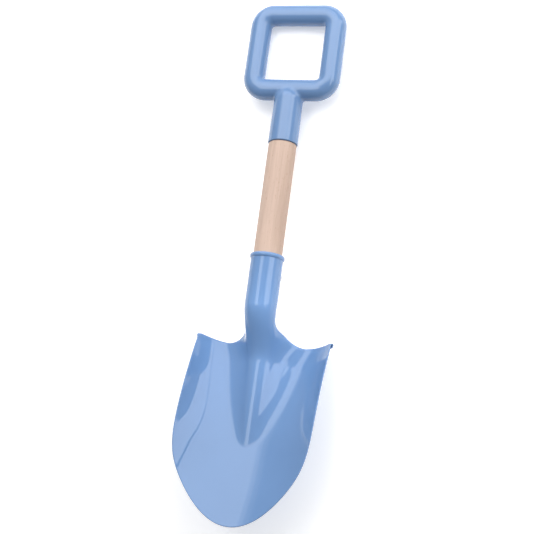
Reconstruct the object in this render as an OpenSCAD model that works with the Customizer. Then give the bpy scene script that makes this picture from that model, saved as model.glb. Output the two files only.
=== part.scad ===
// Child's sand shovel: a pressed steel blade with a rolled socket, a hardwood shaft
// and a moulded square hand grip, held together by screws at the back.
// It lies on its back on a surface: +X across the blade, +Y from the tip to the grip, +Z up.

/* [Shaft] */
// Diameter of the wooden shaft
shaft_d = 22; // [20:0.5:24]
// Bare length of shaft between the socket and the grip
shaft_bare = 90.4; // [60:0.2:140]
// Diameter of the turned tenon inside the grip
tenon_d = 18.4; // [15:0.2:19]
// Length of the tenon
tenon_len = 33; // [24:0.5:35]
// Chamfer on both ends of the shaft
shaft_chamfer = 1; // [0.4:0.1:2]

/* [Grip] */
// Distance between the axes of the two side bars
loop_w = 61.8; // [50:0.2:80]
// Distance between the axes of the two cross bars
loop_h = 64.1; // [50:0.1:80]
// Diameter of the bars
bar_d = 17; // [14:0.2:20]
// Bend radius of the bar axis at the corners of the loop
loop_bend_r = 10.5; // [10:0.1:16]
// Diameter of the stem at its mouth
stem_d = 23.6; // [23:0.1:27]
// Diameter of the stem under its domed top
stem_top_d = 22.9; // [22:0.1:26]
// Length of the stem from its mouth to the axis of the near cross bar
stem_len = 45.4; // [44:0.2:60]
// Depth of the dome's centre below that axis
dome_drop = 9.4; // [7:0.1:10]
// Rounding of the stem's mouth
stem_lip = 0.5; // [0.2:0.1:1]

/* [Socket and neck] */
// Thickness of the painted sheet
sheet_t = 1; // [0.8:0.05:1.3]
// Straight length of the rolled socket
socket_len = 34.5; // [30:0.5:37]
// Height of the rolled bead around the mouth
bead_h = 3.4; // [2:0.1:5]
// How far the bead stands out from the tube
bead_out = 0.95; // [0.4:0.05:1.5]
// Open seam at the back of the socket
seam_gap = 0.6; // [0.2:0.1:1.5]
// Distance below the mouth where the neck starts to bend back
bend_at = 40; // [37:0.5:44]
// How much the radius of the neck narrows below its bend
neck_waist = 0.5; // [0.2:0.1:1.5]

/* [Blade] */
// Distance below the mouth of the shoulder's fold
shoulder_at = 66; // [63:0.5:72]
// How much higher the outer corners of the shoulders stand
corner_lift = 4.7; // [0:0.1:7]
// Distance below the mouth of the tip, inside its edge strip
tip_at = 203.3; // [180:0.1:240]
// Half the width of the blade, inside its edge strip
blade_half_w = 51.7; // [46:0.1:60]
// Radius of the blade's round nose
nose_r = 26.8; // [22:0.1:34]
// Width of the plain edge strip around the blade
edge_w = 2; // [1.5:0.1:3]
// Depth of the dish behind the shaft axis at the shoulders
shoulder_drop = 29.7; // [27:0.1:33]
// Height of the tip in front of the shaft axis
tip_front = 7.9; // [4:0.1:12]
// Height of the low rim in front of the shaft axis
rim_front = 7.9; // [4:0.1:12]
// Rise of the rim from its low stretch back to the shoulders
rim_rise = 25.5; // [20:0.1:30]
// Distance below the mouth where the rim becomes level
rim_level_at = 159; // [140:0.5:175]
// Half the distance between the two necks of the shoulder folds
flare_x = 31; // [28:0.5:36]
// Distance below the mouth where the ridge becomes level
ridge_level_at = 80; // [76:0.5:88]
// Depth of the level ridge behind the shaft axis
ridge_level = 11.5; // [8:0.1:14]
// Distance below the mouth where the ridge runs out in the dish
ridge_end = 145.5; // [125:0.5:165]

/* [Step lips] */
// Outer radius of the lip turned back along each shoulder
lip_r = 1.7; // [1.5:0.05:2.5]
// Length of sheet in the lip
lip_len = 7.3; // [5.5:0.1:9]
// Radius of the blade's shoulder corners, inside the edge strip
corner_r = 1.2; // [0.8:0.1:3]

/* [Screws] */
// Diameter of the screw shanks
screw_d = 2.8; // [2:0.1:3.5]
// Diameter of the screw heads
head_d = 6; // [5:0.1:7]
// Height of the domed heads
head_h = 2; // [1.4:0.1:2.6]
// Length of the shanks under the head
screw_len = 9; // [7:0.5:10]
// Width of the cross recess in the heads
recess_w = 0.9; // [0.6:0.05:1.2]
// Distance of the socket screws below the mouth
socket_screw_at = 15; // [9:0.5:22]
// Angle of the two socket screws from the front of the tube
socket_screw_angle = 135; // [115:1:150]
// Distance of the grip screw above the mouth of the stem
grip_screw_at = 17; // [10:0.5:24]

/* [Fits] */
// Radial clearance of the shaft in the socket
socket_fit = 0.4; // [0.1:0.05:0.6]
// Radial clearance of the tenon in the stem
tenon_fit = 0.15; // [0.05:0.05:0.4]
// Gap past the ends of the shaft
shaft_end_gap = 0.5; // [0.2:0.1:2]
// Radial clearance of the screws in their holes
screw_fit = 0.1; // [0.05:0.05:0.3]
// Gap under the screw heads
head_gap = 0.05; // [0:0.01:0.1]

/* [Hidden] */
$fn = 64;

paint_blue = [0.49, 0.64, 0.84];
beech = [0.87, 0.78, 0.71];
zinc = [0.72, 0.73, 0.75];

// How far a cut runs past the face it opens
overrun = 1;
// Step for the slopes of the sheet
slope_step = 0.02;

// Exponents of the dish across the blade, at the shoulders and at the nose
dish_powers = [5.5, 2.2];
// Share of the blade's length over which the dish changes from one to the other
dish_change_share = 0.6;
// Exponent of the rim's rise
rim_power = 1.7;
// Sharpness of the turn from the nose into the sides
nose_knee = 6;
// Exponent of the corner lift along the shoulder
lift_power = 1.3;
// Stations on the middle line that face the flare, the shoulder, the corner and the tip
mid_shares = [0.16, 0.294, 0.31, 0.826];
// Exponents that space the rows along the rim and along the middle line
rim_spacing = 1.6;
mid_spacing = 1.35;

// Cells across half the sheet and across its lip or edge strip
half_cell_count = 18;
lip_cell_count = 6;
cell_count = half_cell_count + lip_cell_count;
// Rows along the bead, the plain tube, the neck, the flare, the shoulder and the rim
bead_row_count = 6;
tube_row_count = 2;
neck_row_count = 8;
flare_row_count = 8;
shoulder_row_count = 6;
rim_row_count = 22;

// Share of the way from the socket to the shoulders where the open neck is a half round
neck_open_share = 0.492;
// Share of the edge strip's width that is left there
neck_edge_share = 0.2;
// Share of that way over which the strip narrows
edge_fade_share = 0.6;
// How much deeper the middle of the dish lies than a straight line from shoulder to tip
dish_sag = 1;
// Share of the flare over which its edge leaves the side of the neck
flare_blend_share = 0.45;

tube_r = shaft_d / 2 + socket_fit + sheet_t;
neck_open = mix(socket_len, shoulder_at, neck_open_share);
neck_r = round_r(neck_open);
flare_r = dish_mid(neck_open) - crest(neck_open) - neck_r;
closed_turn = 180 - (edge_w + seam_gap / 2) / tube_r * 180 / PI;
shaft_low = shaft_end_gap - socket_len;
bar_near_y = shaft_bare + stem_len;
bar_far_y = bar_near_y + loop_h;
stem_straight = stem_len - dome_drop;

function mix(p, q, t) = p + (q - p) * t;
function share_of(t) = min(max(t, 0), 1);
function ease(t) = let (c = share_of(t)) c * c * (3 - 2 * c);
function unit(v) = v / norm(v);
function flip(p) = [-p.x, p.y, p.z];
function across(p, q) = [p.y * q.z - p.z * q.y, p.z * q.x - p.x * q.z, p.x * q.y - p.y * q.x];

// The sheet is described by a, the distance below the socket's mouth, and l, the length
// across it from the middle line. Depths are measured backwards from the shaft axis.

// Depth of the dish on the middle line, without the ridge
function dish_mid(a) =
    mix(shoulder_drop, -tip_front, (a - shoulder_at) / (tip_at - shoulder_at))
    + dish_sag * pow(sin(180 * share_of(blade_share(a))), 2);

// Depth of the front of the socket, the neck and the ridge
function crest(a) =
    a < ridge_level_at
    ? mix(-tube_r, ridge_level, ease((a - bend_at) / (ridge_level_at - bend_at)))
    : mix(ridge_level, dish_mid(ridge_end), (a - ridge_level_at) / (ridge_end - ridge_level_at));

function ridge_height(a) = a < ridge_end ? max(dish_mid(a) - crest(a), 0) : 0;

// Way from the end of the socket to the half-round neck
function neck_share(a) = (a - socket_len) / (neck_open - socket_len);

// Radius of the round front of the tube, the neck and the ridge
function round_r(a) =
    tube_r - neck_waist * pow(sin(90 * min(max(neck_share(a), 0), 2)), 2);

// Angle that the round front turns through before the sheet straightens
function flank(a) =
    a < neck_open
    ? mix(closed_turn, 90, ease(neck_share(a)))
    : acos(1 - share_of(ridge_height(a) / (round_r(a) + flare_r)));

function blade_share(a) = share_of((a - shoulder_at) / (tip_at - shoulder_at));

// Half the width of the blade: a parabola at the nose that levels off at the sides
function half_width(a) =
    let (
        from_tip = max(tip_at - a, slope_step),
        nose_len = blade_half_w * blade_half_w / (2 * nose_r)
    )
    blade_half_w * pow(1 + pow(nose_len / from_tip, nose_knee), -0.5 / nose_knee);

// Depth of the rim, inside its edge strip
function rim_depth(a) =
    mix(-rim_front, rim_rise - rim_front,
        pow(share_of((rim_level_at - a) / (rim_level_at - shoulder_at)), rim_power));

// How far the dish comes forward at x from the middle line
function dish_rise(x, a) =
    let (
        b = min(max(a, shoulder_at), tip_at - slope_step),
        p = mix(dish_powers[0], dish_powers[1], ease(blade_share(b) / dish_change_share))
    )
    (dish_mid(b) - rim_depth(b)) * pow(abs(x) / half_width(b), p);

// A point on the front of the sheet: a round front, a hollow flank, then the plain dish
function front_at(l, a) =
    let (
        turn = flank(a),
        r = round_r(a),
        round_l = r * turn * PI / 180,
        hollow_l = a < neck_open ? 0 : flare_r * turn * PI / 180,
        reach = (r + flare_r) * sin(turn),
        on_round = l <= round_l,
        on_hollow = !on_round && l <= round_l + hollow_l,
        bend = on_round ? l / r * 180 / PI : turn - (l - round_l) / flare_r * 180 / PI,
        x = on_round ? r * sin(bend)
            : on_hollow ? reach - flare_r * sin(bend)
            : reach + l - round_l - hollow_l,
        depth = a >= ridge_end ? dish_mid(a)
            : on_round ? crest(a) + r * (1 - cos(bend))
            : on_hollow ? dish_mid(a) - flare_r * (1 - cos(bend))
            : dish_mid(a)
    )
    [x, -a, dish_rise(x, a) - depth];

// The way the front of the sheet faces
function facing(l, a) =
    unit(across(
        front_at(l, a + slope_step) - front_at(l, a - slope_step),
        front_at(l + slope_step, a) - front_at(l - slope_step, a)));

// Length across the sheet that reaches x
function length_to(x, a) =
    let (
        turn = flank(a),
        r = round_r(a),
        inflection = r * sin(turn),
        reach = (r + flare_r) * sin(turn)
    )
    x <= inflection ? r * asin(share_of(x / r)) * PI / 180
    : x <= reach ? (r * turn + flare_r * (turn - asin(share_of((reach - x) / flare_r)))) * PI / 180
    : (r + flare_r) * turn * PI / 180 + x - reach;

function shoulder_line(x) =
    shoulder_at - corner_lift * pow(share_of((x - flare_x) / (blade_half_w - flare_x)), lift_power);

function mid_station(share) = mix(neck_open, tip_at, share);

// Rows of the sheet. Each is [station on the middle line, station at the edge, length across,
// curl of the edge strip, its length, how much the strip also widens sideways].
tube_stations = concat(
    [for (k = [0:bead_row_count]) bead_h / 2 * (1 - cos(180 * k / bead_row_count))],
    [for (k = [1:tube_row_count]) mix(bead_h, socket_len, k / tube_row_count)],
    [for (k = [1:neck_row_count]) mix(socket_len, neck_open, k / neck_row_count)]);

function tube_row(a) =
    [a, a, round_r(a) * flank(a) * PI / 180,
     1 / round_r(a), edge_w * mix(1, neck_edge_share, ease(neck_share(a) / edge_fade_share)), 0];

function flare_row(t) =
    let (
        x = mix(neck_r, flare_x, 1 - cos(90 * t)),
        a = mix(neck_open, shoulder_at, sin(90 * t))
    )
    [mid_station(mid_shares[0] * t), a,
     mix(neck_r * PI / 2, length_to(x, a), ease(t / flare_blend_share)),
     mix(1 / neck_r, 1 / lip_r, ease(t)), mix(edge_w * neck_edge_share, lip_len, ease(t)), 0];

corner_x = blade_half_w - corner_r;
corner_a = shoulder_line(corner_x);

function shoulder_row(t) =
    let (
        x = mix(flare_x, corner_x, t),
        a = shoulder_line(x)
    )
    [mid_station(mix(mid_shares[0], mid_shares[1], t)), a, length_to(x, a), 1 / lip_r, lip_len, 0];

// At a corner the folded lip first widens out to the side, then is cut back along its own fold
fold_share = PI / 2 * lip_r / lip_len;
lip_kept_shares = [1, 2 * fold_share, fold_share, 0];

function corner_row(k) =
    let (
        t = (k + 1) / len(lip_kept_shares),
        x = corner_x + corner_r * sin(90 * t),
        a = corner_a + corner_r * (1 - cos(90 * t))
    )
    [mid_station(mix(mid_shares[1], mid_shares[2], t)), a, length_to(x, a),
     1 / lip_r, lip_len * lip_kept_shares[k], edge_w];

function rim_row(t) =
    let (
        a = mix(corner_a + corner_r, tip_at, 1 - pow(1 - t, rim_spacing)),
        x = t < 1 ? half_width(a) : 0
    )
    [mid_station(mix(mid_shares[2], mid_shares[3], 1 - pow(1 - t, mid_spacing))), a,
     length_to(x, a), 0, edge_w, 0];

rows = concat(
    [for (a = tube_stations) tube_row(a)],
    [for (k = [1:flare_row_count]) flare_row(k / flare_row_count)],
    [for (k = [1:shoulder_row_count]) shoulder_row(k / shoulder_row_count)],
    [for (k = [0:len(lip_kept_shares) - 1]) corner_row(k)],
    [for (k = [1:rim_row_count]) rim_row(k / rim_row_count)]);

last_row = len(rows) - 1;
first_corner = len(tube_stations) + flare_row_count + shoulder_row_count;
first_rim = first_corner + len(lip_kept_shares);

row_ends = [for (r = rows) front_at(r[2], r[1])];
row_end_facings = [for (r = rows) facing(r[2], r[1])];

// Direction in the sheet that leads straight out over its edge
function outward(i) =
    i >= first_corner - 1 && i < first_rim
    ? unit(across(row_end_facings[i], row_ends[first_corner - 1] - row_ends[first_corner - 2]))
    : i == last_row
    ? unit(across(row_end_facings[i], [-1, 0, 0]))
    : unit(across(row_end_facings[i], row_ends[i + 1] - row_ends[max(i - 1, 0)]));

side_way = outward(first_rim + 1);

// How far the bead lifts the front of the sheet
function bead_lift(a) =
    a < bead_h ? bead_out * sqrt(max(0, 1 - pow(2 * a / bead_h - 1, 2))) : 0;

// Front point and facing at cell j of the edge strip of row i
function strip_at(i, j) =
    let (
        r = rows[i],
        s = r[4] * j / lip_cell_count,
        curl = r[3],
        curled = curl > 0 ? min(s, PI / curl) : 0,
        turn = curled * curl * 180 / PI,
        out = curl > 0 ? sin(turn) / curl - (s - curled) : s,
        back = curl > 0 ? (1 - cos(turn)) / curl : 0,
        way = i >= first_corner && i < first_rim && r[4] == 0 ? [0, 0, 0] : outward(i)
    )
    [row_ends[i] + way * out - row_end_facings[i] * back + side_way * (r[5] * j / lip_cell_count),
     unit(row_end_facings[i] * cos(turn) + outward(i) * sin(turn))];

// Front point and facing at cell j of row i
function sheet_at(i, j) =
    let (
        r = rows[i],
        t = j / half_cell_count,
        a = mix(r[0], r[1], t)
    )
    j <= half_cell_count
    ? [front_at(r[2] * t, a), facing(r[2] * t, a)]
    : strip_at(i, j - half_cell_count);

half_sheet = [for (i = [0:last_row]) [for (j = [0:cell_count]) sheet_at(i, j)]];

half_front = [for (i = [0:last_row])
    [for (s = half_sheet[i]) s[0] + s[1] * bead_lift(rows[i][0])]];
half_back = [for (row = half_sheet) [for (s = row) s[0] - s[1] * sheet_t]];

// Points of one face: whole rows from left to right, then the single row down to the tip
function whole_face(half) = concat(
    [for (i = [0:last_row - 1]) for (j = [-cell_count:cell_count]) j < 0 ? flip(half[i][-j]) : half[i][j]],
    half[last_row]);

row_points = 2 * cell_count + 1;
face_points = last_row * row_points + cell_count + 1;
sheet_points = concat(whole_face(half_front), whole_face(half_back));

function point_no(i, j) = i < last_row ? i * row_points + j + cell_count : last_row * row_points + abs(j);

// Two triangles of a cell, split alike on both halves
function cell_faces(i, j) =
    let (
        p = point_no(i, j),
        q = point_no(i, j + 1),
        r = point_no(i + 1, j + 1),
        s = point_no(i + 1, j)
    )
    j >= 0 ? [[p, q, s], [q, r, s]] : [[p, q, r], [p, r, s]];

front_faces = [for (i = [0:last_row - 1]) for (j = [-cell_count:cell_count - 1]) each cell_faces(i, j)];
back_faces = [for (f = front_faces) [for (k = [2:-1:0]) f[k] + face_points]];

// Points around the edge of the sheet, down the right side, round the tip and over the mouth
edge_loop = concat(
    [for (i = [0:last_row]) point_no(i, cell_count)],
    [for (i = [last_row - 1:-1:0]) point_no(i, -cell_count)],
    [for (j = [1 - cell_count:cell_count - 1]) point_no(0, j)]);

edge_faces = [for (k = [0:len(edge_loop) - 1])
    let (
        p = edge_loop[k],
        q = edge_loop[(k + 1) % len(edge_loop)]
    )
    each [[p, p + face_points, q], [q, p + face_points, q + face_points]]];

// The shovel rests on both shoulder lips and on the far bar of the grip
function blade_low(tilt) = min([for (p = sheet_points) p.y * sin(tilt) + p.z * cos(tilt)]);
function bar_low(tilt) = bar_far_y * sin(tilt) - bar_d / 2;
function settle(tilt, tries) =
    tries == 0 ? tilt
    : settle(tilt + atan((blade_low(tilt) - bar_low(tilt)) / (bar_far_y + shoulder_at)), tries - 1);

settle_count = 5;
rest_tilt = settle(0, settle_count);
tip_y = min([for (p = sheet_points) p.y * cos(rest_tilt) - p.z * sin(rest_tilt)]);
grip_end_y = bar_far_y * cos(rest_tilt) + bar_d / 2;

module at_rest() {
    translate([0, -(tip_y + grip_end_y) / 2, -bar_low(rest_tilt)])
        rotate([rest_tilt, 0, 0])
            children();
}

// Turns children from the Z axis to lie along the shaft
module along_shaft(y) {
    translate([0, y, 0])
        rotate([-90, 0, 0])
            children();
}

// Points children's Z axis out from the shaft axis at height y, turned from the front
module out_from_shaft(y, turn) {
    translate([0, y, 0])
        rotate([0, turn, 0])
            children();
}

module socket_screw_places() {
    for (side = [-1, 1])
        out_from_shaft(-socket_screw_at, side * socket_screw_angle)
            children();
}

module grip_screw_place() {
    out_from_shaft(shaft_bare + grip_screw_at, 180)
        children();
}

stem_r_at_screw = mix(stem_d, stem_top_d, grip_screw_at / stem_straight) / 2;

// A hole for a screw whose head sits at radius r
module screw_hole(r) {
    translate([0, 0, r - screw_len - shaft_end_gap])
        cylinder(d = screw_d + 2 * screw_fit, h = screw_len + shaft_end_gap + overrun);
}

// A domed screw with a cross recess, its head resting at radius r
module screw(r) {
    dome_r = (head_h * head_h + head_d * head_d / 4) / (2 * head_h);
    translate([0, 0, r + head_gap])
        difference() {
            union() {
                translate([0, 0, -screw_len])
                    cylinder(d = screw_d, h = screw_len + head_h / 2);
                intersection() {
                    cylinder(d = head_d, h = head_h);
                    translate([0, 0, head_h - dome_r])
                        sphere(r = dome_r);
                }
            }
            for (turn = [0, 90])
                rotate([0, 0, turn])
                    translate([-head_d / 4, -recess_w / 2, head_h / 2])
                        cube([head_d / 2, recess_w, head_h]);
        }
}

// Round bars joined by bends into the square hand loop
module hand_loop() {
    straight_w = loop_w - 2 * loop_bend_r;
    straight_h = loop_h - 2 * loop_bend_r;
    for (side = [-1, 1]) {
        translate([side * loop_w / 2, 0, 0])
            along_shaft(bar_near_y + loop_bend_r)
                cylinder(d = bar_d, h = straight_h);
        translate([-straight_w / 2, bar_near_y + (side + 1) / 2 * loop_h, 0])
            rotate([0, 90, 0])
                cylinder(d = bar_d, h = straight_w);
    }
    for (turn = [0:90:270])
        translate([0, bar_near_y + loop_h / 2, 0])
            translate([sign(cos(turn + 45)) * straight_w / 2, sign(sin(turn + 45)) * straight_h / 2, 0])
                rotate([0, 0, turn])
                    rotate_extrude(angle = 90)
                        translate([loop_bend_r, 0])
                            circle(d = bar_d);
}

module stem() {
    along_shaft(shaft_bare) {
        rotate_extrude()
            polygon([
                [0, 0],
                [stem_d / 2 - stem_lip, 0],
                [stem_d / 2, stem_lip],
                [stem_top_d / 2, stem_straight],
                [0, stem_straight]]);
        translate([0, 0, stem_straight])
            sphere(d = stem_top_d);
    }
}

module blade() {
    color(paint_blue)
        at_rest()
            difference() {
                polyhedron(points = sheet_points, faces = concat(front_faces, back_faces, edge_faces));
                socket_screw_places()
                    screw_hole(tube_r);
            }
}

module shaft() {
    shaft_r = shaft_d / 2;
    tenon_r = tenon_d / 2;
    tenon_end = shaft_bare + tenon_len;
    color(beech)
        at_rest()
            difference() {
                along_shaft(0)
                    rotate_extrude()
                        polygon([
                            [0, shaft_low],
                            [shaft_r - shaft_chamfer, shaft_low],
                            [shaft_r, shaft_low + shaft_chamfer],
                            [shaft_r, shaft_bare],
                            [tenon_r, shaft_bare],
                            [tenon_r, tenon_end - shaft_chamfer],
                            [tenon_r - shaft_chamfer, tenon_end],
                            [0, tenon_end]]);
                socket_screw_places()
                    screw_hole(tube_r);
                grip_screw_place()
                    screw_hole(stem_r_at_screw);
            }
}

module grip() {
    color(paint_blue)
        at_rest()
            difference() {
                union() {
                    hand_loop();
                    stem();
                }
                along_shaft(shaft_bare - overrun)
                    cylinder(d = tenon_d + 2 * tenon_fit, h = overrun + tenon_len + shaft_end_gap);
                grip_screw_place()
                    screw_hole(stem_r_at_screw);
            }
}

module socket_screws() {
    color(zinc)
        at_rest()
            socket_screw_places()
                screw(tube_r);
}

module grip_screw() {
    color(zinc)
        at_rest()
            grip_screw_place()
                screw(stem_r_at_screw);
}

blade();
shaft();
grip();
socket_screws();
grip_screw();
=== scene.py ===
"""The looks of a child's sand shovel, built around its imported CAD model.

Shapes are worked out in the shovel's own frame, in millimetres: x to the right, y up the shaft
from the mouth of the socket, z to the front. They are then laid down as the CAD part rests.
On the pressed sheet, a station is a distance below the mouth, and across is a length along the
front of the sheet from its middle.
"""

import math

import bmesh
import bpy
import numpy as np
from mathutils import Matrix, Vector


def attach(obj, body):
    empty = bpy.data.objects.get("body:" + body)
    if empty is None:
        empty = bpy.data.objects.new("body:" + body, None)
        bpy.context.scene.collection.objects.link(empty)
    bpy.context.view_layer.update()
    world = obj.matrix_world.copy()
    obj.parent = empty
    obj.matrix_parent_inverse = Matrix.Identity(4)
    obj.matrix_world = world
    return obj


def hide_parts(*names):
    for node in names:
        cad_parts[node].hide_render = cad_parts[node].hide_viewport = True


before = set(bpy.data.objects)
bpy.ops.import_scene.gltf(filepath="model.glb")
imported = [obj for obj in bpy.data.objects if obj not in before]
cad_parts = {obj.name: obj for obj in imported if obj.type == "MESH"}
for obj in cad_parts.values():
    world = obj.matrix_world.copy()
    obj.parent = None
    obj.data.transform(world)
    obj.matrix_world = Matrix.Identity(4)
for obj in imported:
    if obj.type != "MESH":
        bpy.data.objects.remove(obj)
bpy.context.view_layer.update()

# How the CAD part rests: turned about X, then moved along Y and Z
REST_TILT = math.radians(-4.9393)
REST_SHIFT = -1.785
REST_LIFT = 25.7115
MM_PER_M = 1000

# Sizes of the shaft
SHAFT_R = 11.0
SHAFT_BARE = 90.4
TENON_R = 9.2
TENON_LEN = 33.0
SHAFT_CHAMFER = 1.0
STEP_CHAMFER = 0.8
SHAFT_END_GAP = 0.5

# Sizes of the grip
LOOP_W = 61.8
LOOP_H = 64.1
BAR_R = 8.5
LOOP_BEND_R = 10.5
STEM_R = 11.8
STEM_TOP_R = 11.45
STEM_LEN = 45.4
DOME_DROP = 9.4
STEM_LIP = 0.5
STEM_FILLET = 2.0
TENON_FIT = 0.15

# Sizes of the socket and the neck
SHEET_T = 1.0
SOCKET_LEN = 34.5
SOCKET_FIT = 0.4
BEAD_H = 3.4
BEAD_OUT = 0.95
SEAM_GAP = 0.6
BEND_AT = 40.0
NECK_WAIST = 0.5
NECK_OPEN_SHARE = 0.492
NECK_EDGE_SHARE = 0.2
EDGE_FADE_SHARE = 0.6
FLARE_BLEND_SHARE = 0.45

# Sizes of the blade
SHOULDER_AT = 66.0
SHOULDER_DROP = 29.7
CORNER_LIFT = 4.7
CORNER_R = 1.2
FLARE_X = 31.0
TIP_AT = 203.3
TIP_FRONT = 7.9
BLADE_HALF_W = 51.7
NOSE_R = 26.8
EDGE_W = 2.0
ROUND_OFF_SHARE = 0.4
RIM_FRONT = 7.9
RIM_RISE = 25.5
RIM_LEVEL_AT = 159.0
RIDGE_LEVEL_AT = 80.0
RIDGE_LEVEL = 11.5
RIDGE_END = 145.5
LIP_R = 1.7
LIP_LEN = 7.3
DISH_SAG = 1.0

# How the blade curves
DISH_POWERS = (5.5, 2.2)
DISH_CHANGE_SHARE = 0.6
RIM_POWER = 1.7
NOSE_KNEE = 6.0
LIFT_POWER = 1.3

# Where the rows of the flare, shoulder, corner and rim end on the middle line, from neck to tip
MID_SHARES = (0.16, 0.294, 0.31, 0.826)
RIM_SPACING = 1.6
MID_SPACING = 1.35

# How fine the meshes are
BEAD_ROWS = 14
TUBE_ROWS = 8
NECK_ROWS = 22
FLARE_ROWS = 24
SHOULDER_ROWS = 16
WIDEN_ROWS = 4
CUT_ROWS = 10
RIM_ROWS = 72
SHEET_CELLS = 56
STRIP_CELLS = 14
EDGE_CELLS = 5
SHAFT_STEPS = 40
SHAFT_SIDES = 128
GRIP_CELL = 0.8
GRIP_MARGIN = 2.0
GRIP_END_MARGIN = 2.05
GRIP_PULLS = 4

# Steps and limits of the sums, then merging distances in metres and angles that stay sharp
SLOPE_STEP = 0.02
FIELD_STEP = 0.01
STEEPNESS_MIN = 0.2
LENGTH_MIN = 1e-12
SHEET_MERGE = 1e-7
SHAFT_MERGE = 1e-6
SHEET_SHARP = math.radians(50)
GRIP_SHARP = math.radians(60)
SHAFT_SHARP = math.radians(35)

# Colours, where a list goes from the darker tone to the lighter one
WHITE = (1.0, 1.0, 1.0)
BLACK = (0.0, 0.0, 0.0)
ENAMEL_TONES = [(0.136, 0.254, 0.478), (0.144, 0.266, 0.498)]
PLASTIC_TONES = [(0.127, 0.232, 0.429), (0.135, 0.243, 0.446)]
BEECH_TONES = [(0.527, 0.382, 0.309), (0.600, 0.444, 0.362), (0.652, 0.495, 0.408)]
BEECH_STREAK = (0.94, 0.925, 0.91)
BEECH_FLECK = (0.80, 0.72, 0.66)
BEECH_FLECK_SHARE = 0.7
# Painted shade: the darker colour that the right side of the dowel is painted towards
BEECH_PAINTED_SHADE = (0.84, 0.825, 0.805)
ZINC_TONES = [(0.50, 0.51, 0.53), (0.64, 0.65, 0.67)]
FLOOR_TONES = [(0.905, 0.895, 0.89), (0.915, 0.905, 0.90)]
TONE_ENDS = (0.3, 0.7)

# The floor: half its side in metres, and its glow
FLOOR_HALF = 6.0
FLOOR_GLOW = 0.36

# Light panels: share of the glow, distance in metres, corners by angles to the right and up the shaft
PANEL_GLOW = 3.4
FAR_EDGE = [(-6, 32.2), (0, 32.9), (4, 33.4), (8, 33.5), (11, 33.1), (14, 32.4), (17, 31.8)]
FAR_EDGE += [(19.5, 31), (22, 29.3), (24, 28), (30, 27.5)]
PANELS = {
    "left_panel": (1.0, 1.48, [(-30, 19), (-9, 19), (4, -3), (-24, -3)]),
    "left_strip": (1.0, 1.48, [(-31, 34), (-23, 34), (-6, 17), (-14, 17)]),
    "right_panel": (1.0, 1.46, [(28, 24), (59, 25), (72, 15), (72, 10.5), (52, 10.5), (37, 13.5)]),
    "foot_panel": (1.0, 1.46, [(37, 13.5), (52, 10.5), (58, -5), (49, -5)]),
    "side_panel": (1.05, 1.47, [(36.8, 24), (36.8, 47), (86, 46), (71, 38), (62, 33), (59, 24)]),
    "top_left_panel": (1.0, 1.5, [(-28, 25), (-1, 27.5), (-1, 50), (-47, 50)]),
    "near_fade_panel": (0.66, 1.5, [(-33, 25), (-28, 25), (-47, 50), (-52, 50)]),
    "far_fade_panel": (0.33, 1.5, [(-39, 25), (-33, 25), (-52, 50), (-58, 50)]),
    "top_right_panel": (1.0, 1.5, [(-1, 36), (20, 36), (25, 28.2), (35, 24.5), (35, 50), (-1, 50)]),
    "far_panel": (1.0, 6.0, FAR_EDGE + [(30, 42), (-6, 42)]),
    "high_panel": (1.0, 1.5, [(-51, 49), (34.5, 49), (34.5, 58), (-60, 56)]),
}
BLADE_AIM = (0, -100, 0)
GRIP_PANEL = [(-34, 8), (28, 8), (28, 35), (-34, 35)]
GRIP_PANEL_DISTANCE = 0.5
GRIP_AIM = (0, 135, 0)

# The beam on the neck: angles and cone in degrees, lengths in metres, power in watts
NECK_AIM = (0, -54, -5)
NECK_BEAM_ANGLES = (17.7, -14)
NECK_BEAM_DISTANCE = 0.8
NECK_BEAM_CONE = 8
NECK_BEAM_RADIUS = 0.05
NECK_BEAM_POWER = 20

# The surround: which way it grows brighter, over what span, and its two levels
SURROUND_SLOPE = (-0.15, 0.65, 0.0)
SURROUND_SPAN = 0.75
SURROUND_LOW = 0.2
SURROUND_HIGH = 0.62

# The camera, with its place and directions in the shovel's own frame
CAMERA_SENSOR = 36.0
CAMERA_LENS = 83.0
CAMERA_EYE = (277.65, -226.67, 870.35)
CAMERA_FORWARD = (-0.29531, 0.23181, -0.92685)
CAMERA_UP = (-0.05869, 0.96388, 0.25978)

# Values worked out from the sizes
TUBE_R = SHAFT_R + SOCKET_FIT + SHEET_T
NECK_OPEN = SOCKET_LEN + (SHOULDER_AT - SOCKET_LEN) * NECK_OPEN_SHARE
CLOSED_TURN = math.pi - (EDGE_W + SEAM_GAP / 2) / TUBE_R
CORNER_X = BLADE_HALF_W - CORNER_R
ROUND_OFF = ROUND_OFF_SHARE * SHEET_T


def lay_down(points):
    """Lays points of the shovel's own frame, in millimetres, down in the part's frame, in metres."""
    p = np.asarray(points, float)
    c, s = math.cos(REST_TILT), math.sin(REST_TILT)
    y = p[..., 1] * c - p[..., 2] * s + REST_SHIFT
    z = p[..., 1] * s + p[..., 2] * c + REST_LIFT
    return np.stack([p[..., 0], y, z], -1) / MM_PER_M


def lay_direction(v):
    """Turns a direction of the shovel's own frame into the part's frame."""
    c, s = math.cos(REST_TILT), math.sin(REST_TILT)
    return Vector((v[0], v[1] * c - v[2] * s, v[1] * s + v[2] * c))


def mix(first, second, share):
    return first + (second - first) * share


def ease(share):
    """A smooth step from 0 to 1."""
    s = np.clip(share, 0, 1)
    return s * s * (3 - 2 * s)


def unit(v):
    return v / np.maximum(np.linalg.norm(v, axis=-1, keepdims=True), LENGTH_MIN)


# The front of the pressed sheet


def dish_mid(station):
    """Depth of the dish behind the shaft's axis, along the middle of the blade."""
    share = (station - SHOULDER_AT) / (TIP_AT - SHOULDER_AT)
    sag = DISH_SAG * np.sin(np.pi * np.clip(share, 0, 1)) ** 2
    return mix(SHOULDER_DROP, -TIP_FRONT, share) + sag


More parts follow.
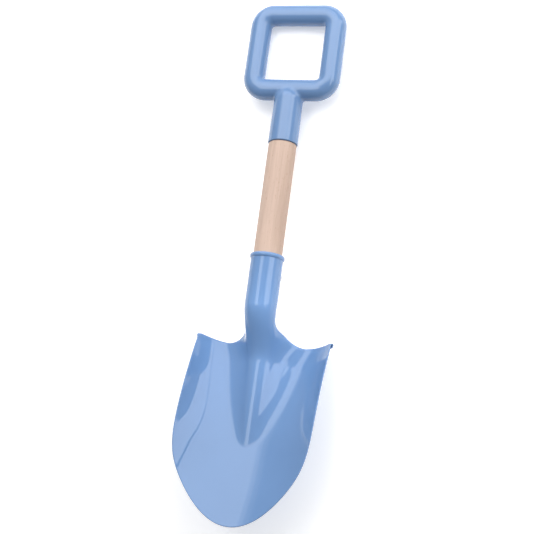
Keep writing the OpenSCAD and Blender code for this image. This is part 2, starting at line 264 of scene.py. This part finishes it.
def crest(station):
    """Depth of the front of the tube, the neck and the ridge, along the middle."""
    bent = ease((station - BEND_AT) / (RIDGE_LEVEL_AT - BEND_AT))
    run_out = (station - RIDGE_LEVEL_AT) / (RIDGE_END - RIDGE_LEVEL_AT)
    high = mix(-TUBE_R, RIDGE_LEVEL, bent)
    low = mix(RIDGE_LEVEL, dish_mid(RIDGE_END), run_out)
    return np.where(station < RIDGE_LEVEL_AT, high, low)


def ridge_height(station):
    height = np.maximum(dish_mid(station) - crest(station), 0)
    return np.where(station < RIDGE_END, height, 0)


def neck_share(station):
    return (station - SOCKET_LEN) / (NECK_OPEN - SOCKET_LEN)


def round_r(station):
    """Radius of the round front, a little smaller at the waist of the neck."""
    waist = np.sin(np.pi / 2 * np.clip(neck_share(station), 0, 2)) ** 2
    return TUBE_R - NECK_WAIST * waist


NECK_R = float(round_r(NECK_OPEN))
FLARE_R = float(dish_mid(NECK_OPEN) - crest(NECK_OPEN) - NECK_R)


def flank(station):
    """How far the round front turns: nearly closed at the tube, less and less along the ridge."""
    high = mix(CLOSED_TURN, np.pi / 2, ease(neck_share(station)))
    drop = np.clip(ridge_height(station) / (round_r(station) + FLARE_R), 0, 1)
    return np.where(station < NECK_OPEN, high, np.arccos(1 - drop))


def half_width(station):
    """Half the blade's width: straight sides that close in a round nose."""
    from_tip = np.maximum(TIP_AT - station, SLOPE_STEP)
    nose_len = BLADE_HALF_W**2 / (2 * NOSE_R)
    return BLADE_HALF_W * (1 + (nose_len / from_tip) ** NOSE_KNEE) ** (-0.5 / NOSE_KNEE)


def rim_depth(station):
    share = np.clip((RIM_LEVEL_AT - station) / (RIM_LEVEL_AT - SHOULDER_AT), 0, 1)
    return RIM_RISE * share**RIM_POWER - RIM_FRONT


def dish_rise(x, station):
    """How far the dish rises to the front between its middle and x."""
    on_blade = np.clip(station, SHOULDER_AT, TIP_AT - SLOPE_STEP)
    share = (on_blade - SHOULDER_AT) / (TIP_AT - SHOULDER_AT)
    power = mix(DISH_POWERS[0], DISH_POWERS[1], ease(share / DISH_CHANGE_SHARE))
    to_rim = dish_mid(on_blade) - rim_depth(on_blade)
    return to_rim * (np.abs(x) / half_width(on_blade)) ** power


def front_at(across, station):
    """Points on the front of the sheet: a round front, a hollow flank, then the plain dish."""
    turn = flank(station)
    r = round_r(station)
    mid = dish_mid(station)
    round_len = r * turn
    hollow_len = np.where(station < NECK_OPEN, 0, FLARE_R * turn)
    reach = (r + FLARE_R) * np.sin(turn)
    on_round = across <= round_len
    on_hollow = ~on_round & (across <= round_len + hollow_len)
    on_crest = on_round & (station < RIDGE_END)
    bend = np.where(on_round, across / r, turn - (across - round_len) / FLARE_R)
    x = np.where(on_hollow, reach - FLARE_R * np.sin(bend), reach + across - round_len - hollow_len)
    x = np.where(on_round, r * np.sin(bend), x)
    depth = np.where(on_hollow, mid - FLARE_R * (1 - np.cos(bend)), mid)
    depth = np.where(on_crest, crest(station) + r * (1 - np.cos(bend)), depth)
    return np.stack([x, -station, dish_rise(x, station) - depth], -1)


def facing(across, station):
    """Normals of the front of the sheet."""
    down = front_at(across, station + SLOPE_STEP) - front_at(across, station - SLOPE_STEP)
    outward = front_at(across + SLOPE_STEP, station) - front_at(across - SLOPE_STEP, station)
    return unit(np.cross(down, outward))


def length_to(x, station):
    """The length across at which the front reaches x."""
    turn = flank(station)
    r = round_r(station)
    reach = (r + FLARE_R) * np.sin(turn)
    if x <= r * np.sin(turn):
        return r * np.arcsin(min(x / r, 1))
    if x <= reach:
        return r * turn + FLARE_R * (turn - np.arcsin(np.clip((reach - x) / FLARE_R, 0, 1)))
    return (r + FLARE_R) * turn + x - reach


def shoulder_line(x):
    """Station of the shoulder's edge, which climbs towards the corner."""
    share = np.clip((x - FLARE_X) / (BLADE_HALF_W - FLARE_X), 0, 1)
    return SHOULDER_AT - CORNER_LIFT * share**LIFT_POWER


CORNER_AT = shoulder_line(CORNER_X)


def mid_station(share):
    return mix(NECK_OPEN, TIP_AT, share)


# Rows of half the sheet: middle station, edge station, length across, then the strip's curl, length, width


def socket_rows():
    bead = [BEAD_H / 2 * (1 - math.cos(math.pi * k / BEAD_ROWS)) for k in range(BEAD_ROWS + 1)]
    tube = [mix(BEAD_H, SOCKET_LEN, k / TUBE_ROWS) for k in range(1, TUBE_ROWS + 1)]
    neck = [mix(SOCKET_LEN, NECK_OPEN, k / NECK_ROWS) for k in range(1, NECK_ROWS + 1)]
    rows = []
    for station in bead + tube + neck:
        r = round_r(station)
        strip = EDGE_W * mix(1, NECK_EDGE_SHARE, ease(neck_share(station) / EDGE_FADE_SHARE))
        rows.append((station, station, r * flank(station), 1 / r, strip, 0))
    return rows


def flare_rows():
    rows = []
    for k in range(1, FLARE_ROWS + 1):
        t = k / FLARE_ROWS
        x = mix(NECK_R, FLARE_X, 1 - math.cos(math.pi / 2 * t))
        station = mix(NECK_OPEN, SHOULDER_AT, math.sin(math.pi / 2 * t))
        across = mix(NECK_R * math.pi / 2, length_to(x, station), ease(t / FLARE_BLEND_SHARE))
        curl = mix(1 / NECK_R, 1 / LIP_R, ease(t))
        strip = mix(EDGE_W * NECK_EDGE_SHARE, LIP_LEN, ease(t))
        rows.append((mid_station(MID_SHARES[0] * t), station, across, curl, strip, 0))
    return rows


def shoulder_rows():
    rows = []
    for k in range(1, SHOULDER_ROWS + 1):
        t = k / SHOULDER_ROWS
        x = mix(FLARE_X, CORNER_X, t)
        station = shoulder_line(x)
        mid = mid_station(mix(MID_SHARES[0], MID_SHARES[1], t))
        rows.append((mid, station, length_to(x, station), 1 / LIP_R, LIP_LEN, 0))
    return rows


def corner_rows():
    """Around the corner the lip first widens sideways and is then cut back to nothing."""
    widen = [(1, k / WIDEN_ROWS) for k in range(1, WIDEN_ROWS + 1)]
    cut_back = [(1 - k / CUT_ROWS, 1) for k in range(1, CUT_ROWS + 1)]
    rows = []
    for k, (kept, wide) in enumerate(widen + cut_back):
        t = (k + 1) / (WIDEN_ROWS + CUT_ROWS)
        x = CORNER_X + CORNER_R * math.sin(math.pi / 2 * t)
        station = CORNER_AT + CORNER_R * (1 - math.cos(math.pi / 2 * t))
        mid = mid_station(mix(MID_SHARES[1], MID_SHARES[2], t))
        rows.append((mid, station, length_to(x, station), 1 / LIP_R, LIP_LEN * kept, EDGE_W * wide))
    return rows


def rim_rows():
    rows = []
    for k in range(1, RIM_ROWS + 1):
        t = k / RIM_ROWS
        station = mix(CORNER_AT + CORNER_R, TIP_AT, 1 - (1 - t) ** RIM_SPACING)
        x = float(half_width(station)) if k < RIM_ROWS else 0.0
        mid = mid_station(mix(MID_SHARES[2], MID_SHARES[3], 1 - (1 - t) ** MID_SPACING))
        rows.append((mid, station, length_to(x, station), 0, EDGE_W, 0))
    return rows


# The blade


def curl_back(length, curl):
    """How far a strip of this length reaches out and back, and its turn, where it curls."""
    if curl == 0:
        return length, 0, 0
    curled = min(length, math.pi / curl)
    turn = curled * curl
    return math.sin(turn) / curl - (length - curled), (1 - math.cos(turn)) / curl, turn


def edge_strip(end, normal, out, side, curl, length, width):
    """Points and normals of the strip that goes on from the end of one row."""
    length = max(length - ROUND_OFF, 0)
    width = max(width - ROUND_OFF, 0)
    points, normals = [], []
    for j in range(1, STRIP_CELLS + 1):
        reach, back, turn = curl_back(length * j / STRIP_CELLS, curl)
        shift = side * (width * j / STRIP_CELLS)
        points.append(end + out * reach - normal * back + shift)
        normals.append(unit(normal * math.cos(turn) + out * math.sin(turn)))
    return points, normals


def half_sheet():
    """Front points and normals of the right half of the sheet, row by row, and the bead's lift."""
    upper = socket_rows() + flare_rows() + shoulder_rows()
    corner = corner_rows()
    rows = np.array(upper + corner + rim_rows(), float)
    first_corner = len(upper)
    first_rim = first_corner + len(corner)
    share = np.linspace(0, 1, SHEET_CELLS + 1)
    across = rows[:, 2:3] * share
    station = rows[:, 0:1] + (rows[:, 1:2] - rows[:, 0:1]) * share
    front = front_at(across, station)
    normal = facing(across, station)
    ends, end_normals = front[:, -1], normal[:, -1]
    along = np.gradient(ends, axis=0)
    along[0] = ends[1] - ends[0]
    along[-1] = (-1, 0, 0)
    along[first_corner - 1 : first_rim] = ends[first_corner - 1] - ends[first_corner - 2]
    along[first_rim] = ends[first_rim + 1] - ends[first_rim]
    out = unit(np.cross(end_normals, along))
    side = out[first_rim + 1]
    strip_front, strip_normal = [], []
    for i, row in enumerate(rows):
        points, normals = edge_strip(ends[i], end_normals[i], out[i], side, *row[3:])
        strip_front.append(points)
        strip_normal.append(normals)
    front = np.concatenate([front, np.array(strip_front)], 1)
    normal = np.concatenate([normal, np.array(strip_normal)], 1)
    mid = rows[:, 0]
    lift = BEAD_OUT * np.sqrt(np.clip(1 - (2 * mid / BEAD_H - 1) ** 2, 0, 1)) * (mid < BEAD_H)
    return front, normal, lift


def mesh_object(name, points, faces, merge=0.0):
    mesh = bpy.data.meshes.new(name)
    mesh.from_pydata([tuple(p) for p in points], [], faces)
    if merge > 0:
        bm = bmesh.new()
        bm.from_mesh(mesh)
        bmesh.ops.remove_doubles(bm, verts=bm.verts, dist=merge)
        bmesh.ops.dissolve_degenerate(bm, edges=bm.edges, dist=merge)
        bmesh.ops.recalc_face_normals(bm, faces=bm.faces)
        bm.to_mesh(mesh)
        bm.free()
    mesh.polygons.foreach_set("use_smooth", [True] * len(mesh.polygons))
    mesh.update()
    obj = bpy.data.objects.new(name, mesh)
    bpy.context.scene.collection.objects.link(obj)
    return obj


def ring_faces(rings, around):
    """Quads between neighbouring rings of points, where each ring is closed on itself."""
    faces = []
    for i in range(rings - 1):
        near, far = i * around, (i + 1) * around
        for j in range(around):
            k = (j + 1) % around
            faces.append((near + j, near + k, far + k, far + j))
    return faces


def mouth_faces(half):
    """Quads between the front and the back of the first ring, on both sides of the middle."""
    faces = []
    for j in range(half // 2 - 1):
        right = (j, j + 1, half - 2 - j, half - 1 - j)
        faces.append(right[::-1])
        faces.append(tuple(q if q in (0, half - 1) else 2 * half - 2 - q for q in right))
    return faces


def build_blade():
    """The pressing as one closed skin: front, rounded edge and back, mirrored about the middle."""
    front, normal, lift = half_sheet()
    raised = front + normal * lift[:, None, None]
    back = front - normal * SHEET_T
    edge_out = unit(front[:, -1] - front[:, -2])
    centre = front[:, -1] - normal[:, -1] * (SHEET_T / 2)
    rounds = []
    for k in range(1, EDGE_CELLS):
        w = math.pi * k / EDGE_CELLS
        rounds.append(centre + (normal[:, -1] * math.cos(w) + edge_out * math.sin(w)) * (SHEET_T / 2))
    half = np.concatenate([raised, np.stack(rounds, 1), back[:, ::-1]], 1)
    left = half[:, -2:0:-1] * np.array([-1, 1, 1])
    ring = np.concatenate([half, left], 1)
    faces = ring_faces(ring.shape[0], ring.shape[1]) + mouth_faces(half.shape[1])
    blade = mesh_object("blade_skin", lay_down(ring.reshape(-1, 3)), faces, merge=SHEET_MERGE)
    blade.data.set_sharp_from_angle(angle=SHEET_SHARP)
    return blade


# The moulded grip, as the zero surface of a distance field


def grip_distance(p):
    """Distance to the grip's surface, below zero inside: loop and stem, blended, less the bore."""
    x, y, z = p[..., 0], p[..., 1], p[..., 2]
    near_y = SHAFT_BARE + STEM_LEN
    qx = np.abs(x) - (LOOP_W / 2 - LOOP_BEND_R)
    qy = np.abs(y - near_y - LOOP_H / 2) - (LOOP_H / 2 - LOOP_BEND_R)
    outside = np.hypot(np.maximum(qx, 0), np.maximum(qy, 0))
    inside = np.minimum(np.maximum(qx, qy), 0)
    loop = np.hypot(outside + inside - LOOP_BEND_R, z) - BAR_R
    across = np.hypot(x, z)
    top_y = near_y - DOME_DROP
    cone_r = mix(STEM_R, STEM_TOP_R, np.clip((y - SHAFT_BARE) / (top_y - SHAFT_BARE), 0, 1))
    cone = across - cone_r
    dome = np.hypot(across, np.maximum(y - top_y, 0)) - STEM_TOP_R
    stem = np.where(y < top_y, cone, dome)
    blend = np.clip(0.5 + 0.5 * (stem - loop) / STEM_FILLET, 0, 1)
    body = mix(stem, loop, blend) - STEM_FILLET * blend * (1 - blend)
    below = SHAFT_BARE - y
    rounded = (body > -STEM_LIP) & (below > -STEM_LIP)
    rim = np.hypot(body + STEM_LIP, below + STEM_LIP) - STEM_LIP
    body = np.where(rounded, rim, np.maximum(body, below))
    bore = np.maximum(across - TENON_R - TENON_FIT, y - SHAFT_BARE - TENON_LEN - SHAFT_END_GAP)
    return np.maximum(body, -bore)


def field_slope(p):
    slope = np.zeros_like(p)
    for axis in range(3):
        step = np.zeros(3)
        step[axis] = FIELD_STEP
        slope[..., axis] = (grip_distance(p + step) - grip_distance(p - step)) / (2 * FIELD_STEP)
    return slope


def edge_crossings(grid, cell):
    """For each axis: the grid's edges that the surface crosses, if they start inside, and where."""
    value = grip_distance(grid)
    solid = value < 0
    crossings = []
    for axis in range(3):
        first = tuple(slice(0, -1) if k == axis else slice(None) for k in range(3))
        second = tuple(slice(1, None) if k == axis else slice(None) for k in range(3))
        crossed = solid[first] != solid[second]
        change = np.where(crossed, value[first] - value[second], 1)
        place = grid[first].copy()
        place[..., axis] += np.where(crossed, value[first] / change, 0) * cell
        crossings.append((crossed, solid[first], place))
    return crossings


def net_points(crossings, cells):
    """A point amid the crossings of each cell that the surface passes, and the number of each cell."""
    total = np.zeros(cells + [3])
    hits = np.zeros(cells)
    for axis, (crossed, _, place) in enumerate(crossings):
        a, b = [k for k in range(3) if k != axis]
        for shift_a, shift_b in ((0, 0), (0, 1), (1, 0), (1, 1)):
            pick = [slice(None)] * 3
            pick[a] = slice(shift_a, cells[a] + shift_a)
            pick[b] = slice(shift_b, cells[b] + shift_b)
            pick = tuple(pick)
            total += np.where(crossed[pick][..., None], place[pick], 0)
            hits += crossed[pick]
    used = hits > 0
    number = np.full(used.shape, -1)
    number[used] = np.arange(used.sum())
    return total[used] / hits[used][:, None], number


def net_faces(crossings, number, cells):
    """A quad around each crossed edge, through the points of the four cells that share it."""
    faces = []
    for axis, (crossed, starts_inside, _) in enumerate(crossings):
        a, b = (axis + 1) % 3, (axis + 2) % 3
        edges = np.argwhere(crossed)
        within = (edges[:, a] > 0) & (edges[:, b] > 0)
        within &= (edges[:, a] < cells[a]) & (edges[:, b] < cells[b])
        edges = edges[within]
        corners = []
        for shift_a, shift_b in ((-1, -1), (0, -1), (0, 0), (-1, 0)):
            around = edges.copy()
            around[:, a] += shift_a
            around[:, b] += shift_b
            corners.append(number[tuple(around.T)])
        quads = np.stack(corners, 1)
        flip = ~starts_inside[tuple(edges.T)]
        quads[flip] = quads[flip][:, ::-1]
        faces.append(quads)
    return np.concatenate(faces)


def surface_net(low, high, cell):
    """Points and quads on the zero surface of the grip's field, found in a grid of cells."""
    cells = [int(math.ceil((h - b) / cell)) for b, h in zip(low, high)]
    axes = [b + cell * np.arange(n + 1) for b, n in zip(low, cells)]
    grid = np.stack(np.meshgrid(*axes, indexing="ij"), -1)
    crossings = edge_crossings(grid, cell)
    points, number = net_points(crossings, cells)
    return points, net_faces(crossings, number, cells)


def build_grip():
    """The moulding as a net of quads, pulled onto the surface and given the field's own normals."""
    far_y = SHAFT_BARE + STEM_LEN + LOOP_H
    reach = LOOP_W / 2 + BAR_R + GRIP_MARGIN
    low = (-reach, SHAFT_BARE - GRIP_END_MARGIN, -STEM_R - GRIP_MARGIN)
    high = (reach, far_y + BAR_R + GRIP_MARGIN, STEM_R + GRIP_MARGIN)
    points, faces = surface_net(low, high, GRIP_CELL)
    for _ in range(GRIP_PULLS):
        slope = field_slope(points)
        steepness = np.maximum((slope**2).sum(-1), STEEPNESS_MIN)
        points = points - slope * (grip_distance(points) / steepness)[:, None]
    grip = mesh_object("grip_moulding", lay_down(points), [tuple(f) for f in faces.tolist()])
    normals = [tuple(lay_direction(v)) for v in unit(field_slope(points))]
    grip.data.set_sharp_from_angle(angle=GRIP_SHARP)
    grip.data.normals_split_custom_set_from_vertices(normals)
    return grip


# The shaft


def build_shaft():
    """The turned dowel as a fine lathe shape, with its tenon inside the stem."""
    low = SHAFT_END_GAP - SOCKET_LEN
    end = SHAFT_BARE + TENON_LEN
    side_low = low + SHAFT_CHAMFER
    side_end = SHAFT_BARE - STEP_CHAMFER
    profile = [(0.0, low), (SHAFT_R - SHAFT_CHAMFER, low)]
    profile += [(SHAFT_R, mix(side_low, side_end, k / SHAFT_STEPS)) for k in range(SHAFT_STEPS + 1)]
    profile += [(SHAFT_R - STEP_CHAMFER, SHAFT_BARE), (TENON_R, SHAFT_BARE)]
    profile += [(TENON_R, end - SHAFT_CHAMFER), (TENON_R - SHAFT_CHAMFER, end), (0.0, end)]
    points = []
    for r, y in profile:
        for k in range(SHAFT_SIDES):
            w = 2 * math.pi * k / SHAFT_SIDES
            points.append((r * math.sin(w), y, r * math.cos(w)))
    faces = ring_faces(len(profile), SHAFT_SIDES)
    shaft = mesh_object("shaft_dowel", lay_down(points), faces, merge=SHAFT_MERGE)
    shaft.data.set_sharp_from_angle(angle=SHAFT_SHARP)
    return shaft


# Materials


class Nodes:
    """The nodes of a material or a surround, with helpers that add and join them."""

    def __init__(self, tree):
        self.tree = tree

    def feed(self, node, inputs):
        """Gives each input of a node a value, or joins it to the output of another node."""
        for key, value in inputs.items():
            if isinstance(value, bpy.types.NodeSocket):
                self.tree.links.new(value, node.inputs[key])
            else:
                node.inputs[key].default_value = value

    def shade(self, inputs):
        self.feed(self.tree.nodes["Principled BSDF"], inputs)

    def add(self, kind, inputs, **settings):
        node = self.tree.nodes.new(kind)
        for key, value in settings.items():
            setattr(node, key, value)
        self.feed(node, inputs)
        return node

    def coordinates(self, kind):
        return self.add("ShaderNodeTexCoord", {}).outputs[kind]

    def own_frame(self):
        """Texture coordinates in the shovel's own frame, in metres: y runs along the shaft."""
        inputs = {"Vector": self.coordinates("Object"), "Rotation": (-REST_TILT, 0, 0)}
        return self.add("ShaderNodeMapping", inputs).outputs["Vector"]

    def along_shaft(self, vector, scale):
        """Coordinates that draw a texture out along the shaft where the scale is small."""
        inputs = {"Vector": vector, "Scale": (1.0, scale, 1.0)}
        return self.add("ShaderNodeMapping", inputs).outputs["Vector"]

    def noise(self, vector, scale, detail, roughness=0.5):
        inputs = {"Vector": vector, "Scale": scale, "Detail": detail, "Roughness": roughness}
        return self.add("ShaderNodeTexNoise", inputs).outputs["Fac"]

    def ramp(self, factor, places, colours):
        node = self.add("ShaderNodeValToRGB", {"Fac": factor})
        elements = node.color_ramp.elements
        while len(elements) < len(places):
            elements.new(0.5)
        for element, place, colour in zip(elements, places, colours):
            element.position = place
            element.color = (*colour, 1.0)
        return node.outputs["Color"]

    def spread(self, value, low, high, start=0.0, end=1.0):
        """Maps the range from start to end onto the range from low to high."""
        inputs = {"Value": value, "From Min": start, "From Max": end, "To Min": low, "To Max": high}
        return self.add("ShaderNodeMapRange", inputs).outputs["Result"]

    def multiply(self, first, second, share=1.0):
        inputs = {"Factor": share, "A": first, "B": second}
        node = self.add("ShaderNodeMix", inputs, data_type="RGBA", blend_type="MULTIPLY")
        return node.outputs["Result"]

    def bump(self, height, strength, distance):
        inputs = {"Height": height, "Strength": strength, "Distance": distance}
        return self.add("ShaderNodeBump", inputs).outputs["Normal"]


def new_material(name):
    material = bpy.data.materials.new(name)
    material.use_nodes = True
    return material, Nodes(material.node_tree)


def gloss_paint():
    """Baked enamel on steel: a hair of flow texture and barely uneven colour."""
    material, nodes = new_material("blade_enamel")
    vector = nodes.own_frame()
    tone = nodes.noise(vector, scale=22.0, detail=3.0)
    haze = nodes.noise(vector, scale=60.0, detail=3.0)
    flow = nodes.noise(vector, scale=420.0, detail=1.0)
    colour = nodes.ramp(tone, TONE_ENDS, ENAMEL_TONES)
    roughness = nodes.spread(haze, low=0.02, high=0.035)
    normal = nodes.bump(flow, strength=0.05, distance=0.00006)
    nodes.shade({"Base Color": colour, "Roughness": roughness, "Normal": normal, "IOR": 1.5})
    return material


def moulded_plastic():
    """Injection-moulded grip: satin gloss with a very fine tool texture."""
    material, nodes = new_material("grip_plastic")
    vector = nodes.own_frame()
    tone = nodes.noise(vector, scale=30.0, detail=3.0)
    haze = nodes.noise(vector, scale=90.0, detail=3.0)
    grain = nodes.noise(vector, scale=1500.0, detail=2.0)
    colour = nodes.ramp(tone, TONE_ENDS, PLASTIC_TONES)
    roughness = nodes.spread(haze, low=0.08, high=0.11)
    normal = nodes.bump(grain, strength=0.06, distance=0.00005)
    nodes.shade({"Base Color": colour, "Roughness": roughness, "Normal": normal, "IOR": 1.48})
    nodes.shade({"Coat Weight": 0.2, "Coat Roughness": 0.06})
    return material


def beech_wood():
    """Pale beech: long faint streaks, short dark flecks, open pores, and painted shade that darkens the
    right side of the dowel.
    """
    material, nodes = new_material("beech_dowel")
    vector = nodes.own_frame()
    broad = nodes.noise(nodes.along_shaft(vector, 0.05), scale=150.0, detail=4.0, roughness=0.55)
    fine = nodes.noise(nodes.along_shaft(vector, 0.035), scale=900.0, detail=3.0, roughness=0.6)
    fleck = nodes.noise(nodes.along_shaft(vector, 0.16), scale=1400.0, detail=1.0)
    radius = SHAFT_R / MM_PER_M
    x = nodes.add("ShaderNodeSeparateXYZ", {"Vector": vector}).outputs["X"]
    across = nodes.spread(x, low=0.0, high=1.0, start=-radius, end=radius)
    colour = nodes.ramp(broad, (0.30, 0.50, 0.70), BEECH_TONES)
    colour = nodes.multiply(colour, nodes.ramp(fine, (0.35, 0.62), [BEECH_STREAK, WHITE]))
    flecks = nodes.ramp(fleck, (0.66, 0.74), [WHITE, BEECH_FLECK])
    colour = nodes.multiply(colour, flecks, BEECH_FLECK_SHARE)
    # Painted shade: the colour darkens towards the right side of the dowel, standing in for its shaded
    # side
    colour = nodes.multiply(colour, nodes.ramp(across, (0.62, 0.94), [WHITE, BEECH_PAINTED_SHADE]))
    roughness = nodes.spread(fine, low=0.52, high=0.66)
    normal = nodes.bump(fine, strength=0.25, distance=0.00008)
    nodes.shade({"Base Color": colour, "Roughness": roughness, "Normal": normal})
    return material


def plated_steel():
    """Zinc-plated screw heads with a faint spangle."""
    material, nodes = new_material("zinc_plate")
    tone = nodes.noise(nodes.own_frame(), scale=500.0, detail=3.0)
    colour = nodes.ramp(tone, TONE_ENDS, ZINC_TONES)
    roughness = nodes.spread(tone, low=0.24, high=0.40)
    nodes.shade({"Base Color": colour, "Roughness": roughness, "Metallic": 1.0})
    return material


def floor_surface():
    """A white floor without gloss, which glows a little."""
    material, nodes = new_material("studio_floor")
    tone = nodes.noise(nodes.coordinates("Object"), scale=3.0, detail=2.0)
    colour = nodes.ramp(tone, TONE_ENDS, FLOOR_TONES)
    nodes.shade({"Base Color": colour, "Roughness": 0.9, "Specular IOR Level": 0.1})
    nodes.shade({"Emission Color": (*WHITE, 1.0), "Emission Strength": FLOOR_GLOW})
    return material


def glowing_surface(name, radiance):
    material, nodes = new_material(name)
    nodes.shade({"Base Color": (*BLACK, 1.0)})
    nodes.shade({"Emission Color": (*WHITE, 1.0), "Emission Strength": radiance})
    return material


def give(obj, material):
    obj.data.materials.clear()
    obj.data.materials.append(material)


# The dressed pieces

blade = build_blade()
give(blade, gloss_paint())
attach(blade, "root")
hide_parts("blade")

grip = build_grip()
give(grip, moulded_plastic())
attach(grip, "root")
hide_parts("grip")

shaft = build_shaft()
give(shaft, beech_wood())
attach(shaft, "root")
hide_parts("shaft")

zinc = plated_steel()
for node in ("socket_screws", "grip_screw"):
    give(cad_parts[node], zinc)

# The stage


def flat_object(name, corners):
    mesh = bpy.data.meshes.new(name)
    mesh.from_pydata(corners, [], [tuple(range(len(corners)))])
    obj = bpy.data.objects.new(name, mesh)
    bpy.context.scene.collection.objects.link(obj)
    return obj


def way_at(azimuth, elevation):
    """The direction at these angles, in degrees, to the right of the front and up the shaft."""
    az, el = math.radians(azimuth), math.radians(elevation)
    return lay_direction((math.sin(az) * math.cos(el), math.sin(el), math.cos(az) * math.cos(el)))


def build_floor():
    h = FLOOR_HALF
    floor = flat_object("floor", [(-h, -h, 0), (h, -h, 0), (h, h, 0), (-h, h, 0)])
    give(floor, floor_surface())


def light_panel(name, corners, radiance, distance, aim):
    """A glowing panel, hidden from the camera, with its corners at angles seen from the aim."""
    target = Vector(lay_down(aim))
    panel = flat_object(name, [tuple(target + way_at(*angles) * distance) for angles in corners])
    give(panel, glowing_surface(name, radiance))
    panel.visible_camera = False


def neck_beam():
    """A narrow soft-edged beam on the neck, which adds no highlight of its own."""
    way = way_at(*NECK_BEAM_ANGLES)
    data = bpy.data.lights.new("neck_fill", "SPOT")
    data.energy = NECK_BEAM_POWER
    data.spot_size = math.radians(NECK_BEAM_CONE)
    data.spot_blend = 1.0
    data.shadow_soft_size = NECK_BEAM_RADIUS
    light = bpy.data.objects.new("neck_fill", data)
    place = Vector(lay_down(NECK_AIM)) + way * NECK_BEAM_DISTANCE
    turn = way.to_track_quat("Z", "Y").to_matrix().to_4x4()
    light.matrix_world = Matrix.Translation(place) @ turn
    light.visible_camera = False
    light.visible_glossy = False
    bpy.context.scene.collection.objects.link(light)


def build_world():
    """A plain surround that is brighter towards the grip end and a little towards the left."""
    world = bpy.data.worlds.new("studio")
    bpy.context.scene.world = world
    world.use_nodes = True
    nodes = Nodes(world.node_tree)
    inputs = {0: nodes.coordinates("Generated"), 1: SURROUND_SLOPE}
    slope = nodes.add("ShaderNodeVectorMath", inputs, operation="DOT_PRODUCT").outputs["Value"]
    level = nodes.spread(slope, SURROUND_LOW, SURROUND_HIGH, start=-SURROUND_SPAN, end=SURROUND_SPAN)
    nodes.feed(world.node_tree.nodes["Background"], {"Strength": level, "Color": (*WHITE, 1.0)})


def build_camera():
    data = bpy.data.cameras.new("camera")
    data.sensor_width = CAMERA_SENSOR
    data.lens = CAMERA_LENS
    camera = bpy.data.objects.new("camera", data)
    eye = Vector(lay_down(CAMERA_EYE))
    forward = lay_direction(CAMERA_FORWARD).normalized()
    right = forward.cross(lay_direction(CAMERA_UP).normalized()).normalized()
    up = right.cross(forward)
    turn = Matrix((right, up, -forward)).transposed().to_4x4()
    camera.matrix_world = Matrix.Translation(eye) @ turn
    bpy.context.scene.collection.objects.link(camera)
    bpy.context.scene.camera = camera


build_floor()
for name, (glow_share, distance, corners) in PANELS.items():
    light_panel(name, corners, glow_share * PANEL_GLOW, distance, BLADE_AIM)
light_panel("grip_panel", GRIP_PANEL, PANEL_GLOW, GRIP_PANEL_DISTANCE, GRIP_AIM)
neck_beam()
build_world()
bpy.context.scene.view_settings.view_transform = "Standard"
build_camera()
